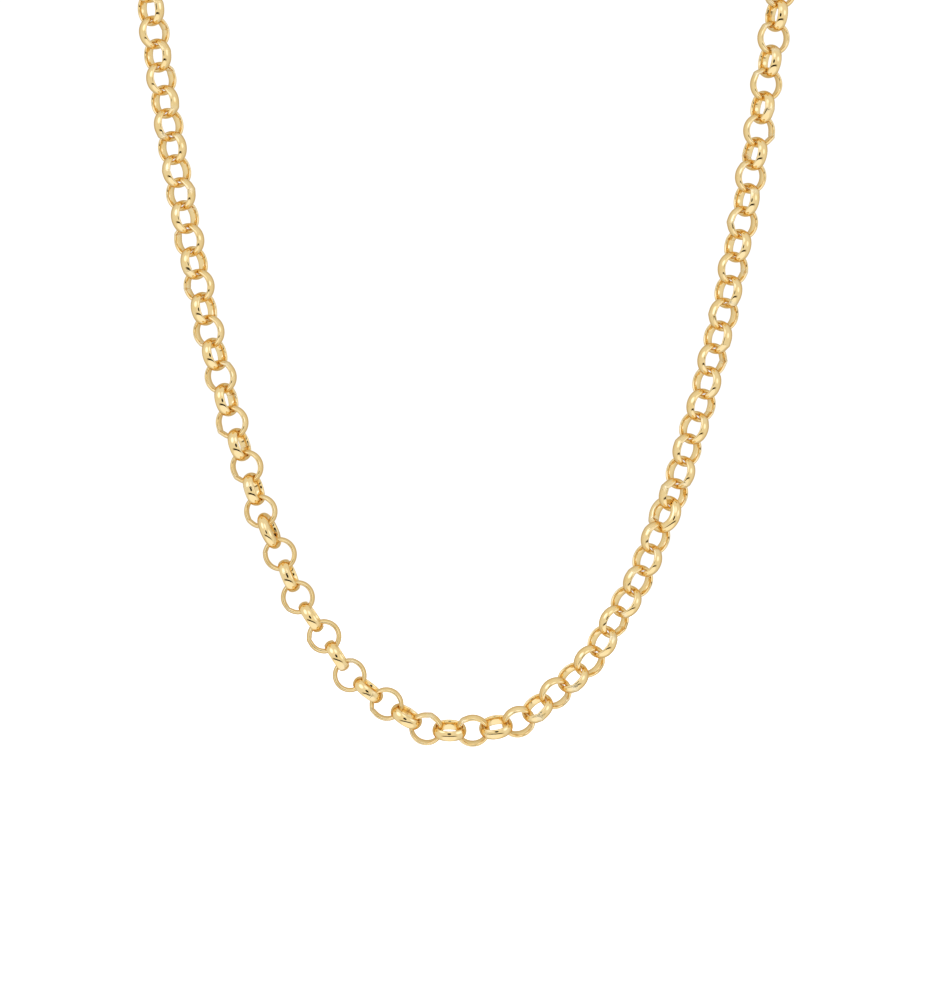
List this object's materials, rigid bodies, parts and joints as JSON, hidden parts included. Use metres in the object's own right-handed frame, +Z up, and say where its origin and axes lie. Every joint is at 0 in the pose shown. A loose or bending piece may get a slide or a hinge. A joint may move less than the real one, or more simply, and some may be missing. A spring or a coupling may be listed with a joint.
{
  "type": "chain necklace",
  "caption": "Belcher chain necklace of round D-section gold links in a hanging closed loop, with a lobster clasp, jump ring and end ring at the nape.",
  "frame": {"origin": "crest of the chain's centre line at the nape, in the middle of the clasp", "axes": "+Z up, +X to the wearer's left as seen from the front, +Y to the back of the chain as it hangs, away from the viewer"},
  "size_m": [0.1089, 0.0058, 0.1863],
  "materials": {
    "link_gold": "polished pale yellow gold plate",
    "clasp_gold": "polished pale yellow gold plate",
    "spring": "plain spring steel"
  },
  "bodies": {
    "neck": {"neck_links_left_1": "link_gold", "neck_links_left_2": "link_gold", "neck_links_left_3": "link_gold", "neck_links_left_4": "link_gold", "neck_links_left_5": "link_gold", "neck_links_left_6": "link_gold", "neck_links_right_1": "link_gold", "neck_links_right_2": "link_gold", "neck_links_right_3": "link_gold", "neck_links_right_4": "link_gold", "neck_links_right_5": "link_gold", "neck_links_right_6": "link_gold"},
    "row_36": {"link_pair_36": "link_gold"},
    "row_35": {"link_pair_35": "link_gold"},
    "row_34": {"link_pair_34": "link_gold"},
    "row_33": {"link_pair_33": "link_gold"},
    "row_32": {"link_pair_32": "link_gold"},
    "row_31": {"link_pair_31": "link_gold"},
    "row_30": {"link_pair_30": "link_gold"},
    "row_29": {"link_pair_29": "link_gold"},
    "row_28": {"link_pair_28": "link_gold"},
    "row_27": {"link_pair_27": "link_gold"},
    "row_26": {"link_pair_26": "link_gold"},
    "row_25": {"link_pair_25": "link_gold"},
    "row_24": {"link_pair_24": "link_gold"},
    "row_23": {"link_pair_23": "link_gold"},
    "row_22": {"link_pair_22": "link_gold"},
    "row_21": {"link_pair_21": "link_gold"},
    "row_20": {"link_pair_20": "link_gold"},
    "row_19": {"link_pair_19": "link_gold"},
    "row_18": {"link_pair_18": "link_gold"},
    "row_17": {"link_pair_17": "link_gold"},
    "row_16": {"link_pair_16": "link_gold"},
    "row_15": {"link_pair_15": "link_gold"},
    "row_14": {"link_pair_14": "link_gold"},
    "row_13": {"link_pair_13": "link_gold"},
    "row_12": {"link_pair_12": "link_gold"},
    "row_11": {"link_pair_11": "link_gold"},
    "row_10": {"link_pair_10": "link_gold"},
    "row_09": {"link_pair_09": "link_gold"},
    "row_08": {"link_pair_08": "link_gold"},
    "row_07": {"link_pair_07": "link_gold"},
    "row_06": {"link_pair_06": "link_gold"},
    "bottom": {"bottom_link": "link_gold", "bottom_link_left_2": "link_gold", "bottom_link_left_4": "link_gold", "bottom_link_left_5": "link_gold", "bottom_link_right_2": "link_gold", "bottom_link_right_4": "link_gold", "bottom_link_right_5": "link_gold"},
    "turning_link_left_1": {"bottom_link_left_1": "link_gold"},
    "turning_link_left_3": {"bottom_link_left_3": "link_gold"},
    "turning_link_right_1": {"bottom_link_right_1": "link_gold"},
    "turning_link_right_3": {"bottom_link_right_3": "link_gold"},
    "clasp": {"clasp_body": "clasp_gold", "clasp_pin": "clasp_gold", "clasp_spring": "spring"},
    "trigger": {"clasp_trigger": "clasp_gold"},
    "jump_ring": {"jump_ring": "clasp_gold"},
    "end_ring": {"end_ring": "clasp_gold"}
  },
  "joints": [
    {"name": "clasp_roll", "type": "hinge", "parent": "neck", "child": "clasp", "pos_m": [-0.0054, 0, -0.00025], "axis": [1, 0, 0], "range_deg": [-8, 8]},
    {"name": "trigger_open", "type": "hinge", "parent": "clasp", "child": "trigger", "pos_m": [-0.00105, 0, -0.00015], "axis": [0, 1, 0], "range_deg": [0, 14], "stiffness_Nm_per_rad": 0.002, "springref_deg": -17.19},
    {"name": "jump_ring_turn", "type": "hinge", "parent": "neck", "child": "jump_ring", "pos_m": [-0.00764, 0, -0.00057], "axis": [0.1418, 0.0002, -0.9899], "continuous": true},
    {"name": "end_ring_turn", "type": "hinge", "parent": "neck", "child": "end_ring", "pos_m": [0.0048, 0, -0.00025], "axis": [-0.0743, -0.0001, -0.9972], "continuous": true},
    {"name": "turn_left_1", "type": "hinge", "parent": "bottom", "child": "turning_link_left_1", "pos_m": [-0.00239, -0.00014, -0.18082], "axis": [0.0223, -0.3733, 0.9274], "continuous": true},
    {"name": "turn_left_3", "type": "hinge", "parent": "bottom", "child": "turning_link_left_3", "pos_m": [-0.00935, 0.00005, -0.17858], "axis": [0.5213, -0.2586, 0.8132], "continuous": true},
    {"name": "turn_right_1", "type": "hinge", "parent": "bottom", "child": "turning_link_right_1", "pos_m": [0.00512, -0.00014, -0.18028], "axis": [-0.1515, -0.4674, 0.871], "continuous": true},
    {"name": "turn_right_3", "type": "hinge", "parent": "bottom", "child": "turning_link_right_3", "pos_m": [0.01184, -0.00014, -0.17724], "axis": [-0.5381, -0.5366, 0.65], "continuous": true},
    {"name": "swing_36", "type": "hinge", "parent": "neck", "child": "row_36", "pos_m": [0.00019, -0.00001, -0.06106], "axis": [0.9996, -0.0001, 0.0276], "range_deg": [-6, 6]},
    {"name": "swing_35", "type": "hinge", "parent": "row_36", "child": "row_35", "pos_m": [0.0002, 0, -0.06481], "axis": [0.9996, 0.0001, 0.0278], "range_deg": [-6, 6]},
    {"name": "swing_34", "type": "hinge", "parent": "row_35", "child": "row_34", "pos_m": [0.00021, 0.00001, -0.06855], "axis": [0.9996, 0, 0.0281], "range_deg": [-6, 6]},
    {"name": "swing_33", "type": "hinge", "parent": "row_34", "child": "row_33", "pos_m": [0.00022, 0.00001, -0.07229], "axis": [0.9996, 0, 0.0284], "range_deg": [-6, 6]},
    {"name": "swing_32", "type": "hinge", "parent": "row_33", "child": "row_32", "pos_m": [0.00022, -0.00001, -0.07602], "axis": [0.9996, 0, 0.0287], "range_deg": [-6, 6]},
    {"name": "swing_31", "type": "hinge", "parent": "row_32", "child": "row_31", "pos_m": [0.00022, -0.00001, -0.07976], "axis": [0.9996, 0, 0.0291], "range_deg": [-6, 6]},
    {"name": "swing_30", "type": "hinge", "parent": "row_31", "child": "row_30", "pos_m": [0.00024, 0.00001, -0.08349], "axis": [0.9996, 0.0001, 0.0294], "range_deg": [-6, 6]},
    {"name": "swing_29", "type": "hinge", "parent": "row_30", "child": "row_29", "pos_m": [0.00025, 0.00001, -0.08722], "axis": [-0.9996, 0, -0.0297], "range_deg": [-6, 6]},
    {"name": "swing_28", "type": "hinge", "parent": "row_29", "child": "row_28", "pos_m": [0.00025, -0.00001, -0.09094], "axis": [-0.9995, 0.0001, -0.0302], "range_deg": [-6, 6]},
    {"name": "swing_27", "type": "hinge", "parent": "row_28", "child": "row_27", "pos_m": [0.00025, -0.00001, -0.09466], "axis": [-0.9995, 0, -0.0306], "range_deg": [-6, 6]},
    {"name": "swing_26", "type": "hinge", "parent": "row_27", "child": "row_26", "pos_m": [0.00027, 0.00001, -0.09838], "axis": [-0.9995, -0.0001, -0.031], "range_deg": [-6, 6]},
    {"name": "swing_25", "type": "hinge", "parent": "row_26", "child": "row_25", "pos_m": [0.00028, 0.00001, -0.10209], "axis": [-0.9995, -0.0001, -0.0314], "range_deg": [-6, 6]},
    {"name": "swing_24", "type": "hinge", "parent": "row_25", "child": "row_24", "pos_m": [0.00028, -0.00002, -0.10578], "axis": [-0.9995, 0.0001, -0.032], "range_deg": [-6, 6]},
    {"name": "swing_23", "type": "hinge", "parent": "row_24", "child": "row_23", "pos_m": [0.0003, -0.00002, -0.10948], "axis": [-0.9995, 0.0001, -0.0325], "range_deg": [-6, 6]},
    {"name": "swing_22", "type": "hinge", "parent": "row_23", "child": "row_22", "pos_m": [0.00032, 0.00002, -0.11318], "axis": [-0.9995, -0.0001, -0.033], "range_deg": [-6, 6]},
    {"name": "swing_21", "type": "hinge", "parent": "row_22", "child": "row_21", "pos_m": [0.00033, 0.00002, -0.11686], "axis": [-0.9994, -0.0003, -0.0336], "range_deg": [-6, 6]},
    {"name": "swing_20", "type": "hinge", "parent": "row_21", "child": "row_20", "pos_m": [0.00034, -0.00002, -0.12052], "axis": [-0.9994, 0.0001, -0.0344], "range_deg": [-6, 6]},
    {"name": "swing_19", "type": "hinge", "parent": "row_20", "child": "row_19", "pos_m": [0.00036, -0.00002, -0.12419], "axis": [-0.9994, 0.0004, -0.035], "range_deg": [-6, 6]},
    {"name": "swing_18", "type": "hinge", "parent": "row_19", "child": "row_18", "pos_m": [0.00038, 0.00003, -0.12786], "axis": [-0.9994, -0.0002, -0.0357], "range_deg": [-6, 6]},
    {"name": "swing_17", "type": "hinge", "parent": "row_18", "child": "row_17", "pos_m": [0.00039, 0.00002, -0.13149], "axis": [-0.9993, -0.0006, -0.0367], "range_deg": [-6, 6]},
    {"name": "swing_16", "type": "hinge", "parent": "row_17", "child": "row_16", "pos_m": [0.00041, -0.00003, -0.13508], "axis": [-0.9993, 0.0002, -0.0377], "range_deg": [-6, 6]},
    {"name": "swing_15", "type": "hinge", "parent": "row_16", "child": "row_15", "pos_m": [0.00045, -0.00003, -0.13869], "axis": [0.9993, -0.0009, 0.0385], "range_deg": [-6, 6]},
    {"name": "swing_14", "type": "hinge", "parent": "row_15", "child": "row_14", "pos_m": [0.00047, 0.00004, -0.1423], "axis": [0.9992, 0.0003, 0.0396], "range_deg": [-6, 6]},
    {"name": "swing_13", "type": "hinge", "parent": "row_14", "child": "row_13", "pos_m": [0.00049, 0.00002, -0.14584], "axis": [0.9992, 0.0014, 0.041], "range_deg": [-6, 6]},
    {"name": "swing_12", "type": "hinge", "parent": "row_13", "child": "row_12", "pos_m": [0.00054, -0.00005, -0.14931], "axis": [0.9991, -0.0002, 0.0424], "range_deg": [-6, 6]},
    {"name": "swing_11", "type": "hinge", "parent": "row_12", "child": "row_11", "pos_m": [0.00059, -0.00002, -0.1528], "axis": [0.999, -0.002, 0.0436], "range_deg": [-6, 6]},
    {"name": "swing_10", "type": "hinge", "parent": "row_11", "child": "row_10", "pos_m": [0.00062, 0.00006, -0.15629], "axis": [0.999, 0.0004, 0.0456], "range_deg": [-6, 6]},
    {"name": "swing_09", "type": "hinge", "parent": "row_10", "child": "row_09", "pos_m": [0.00065, 0.00001, -0.15963], "axis": [0.9989, 0.0029, 0.0478], "range_deg": [-6, 6]},
    {"name": "swing_08", "type": "hinge", "parent": "row_09", "child": "row_08", "pos_m": [0.00074, -0.00007, -0.16281], "axis": [-0.9988, 0, -0.0495], "range_deg": [-6, 6]},
    {"name": "swing_07", "type": "hinge", "parent": "row_08", "child": "row_07", "pos_m": [0.00082, -0.00001, -0.16601], "axis": [-0.9987, 0.0042, -0.0515], "range_deg": [-6, 6]},
    {"name": "swing_06", "type": "hinge", "parent": "row_07", "child": "row_06", "pos_m": [0.00087, 0.00009, -0.1692], "axis": [0.9985, -0.0009, 0.0553], "range_deg": [-6, 6]},
    {"name": "swing_bottom", "type": "hinge", "parent": "row_06", "child": "bottom", "pos_m": [0.00094, 0.00002, -0.17202], "axis": [0.9983, 0.0035, 0.0588], "range_deg": [-6, 6]}
  ]
}
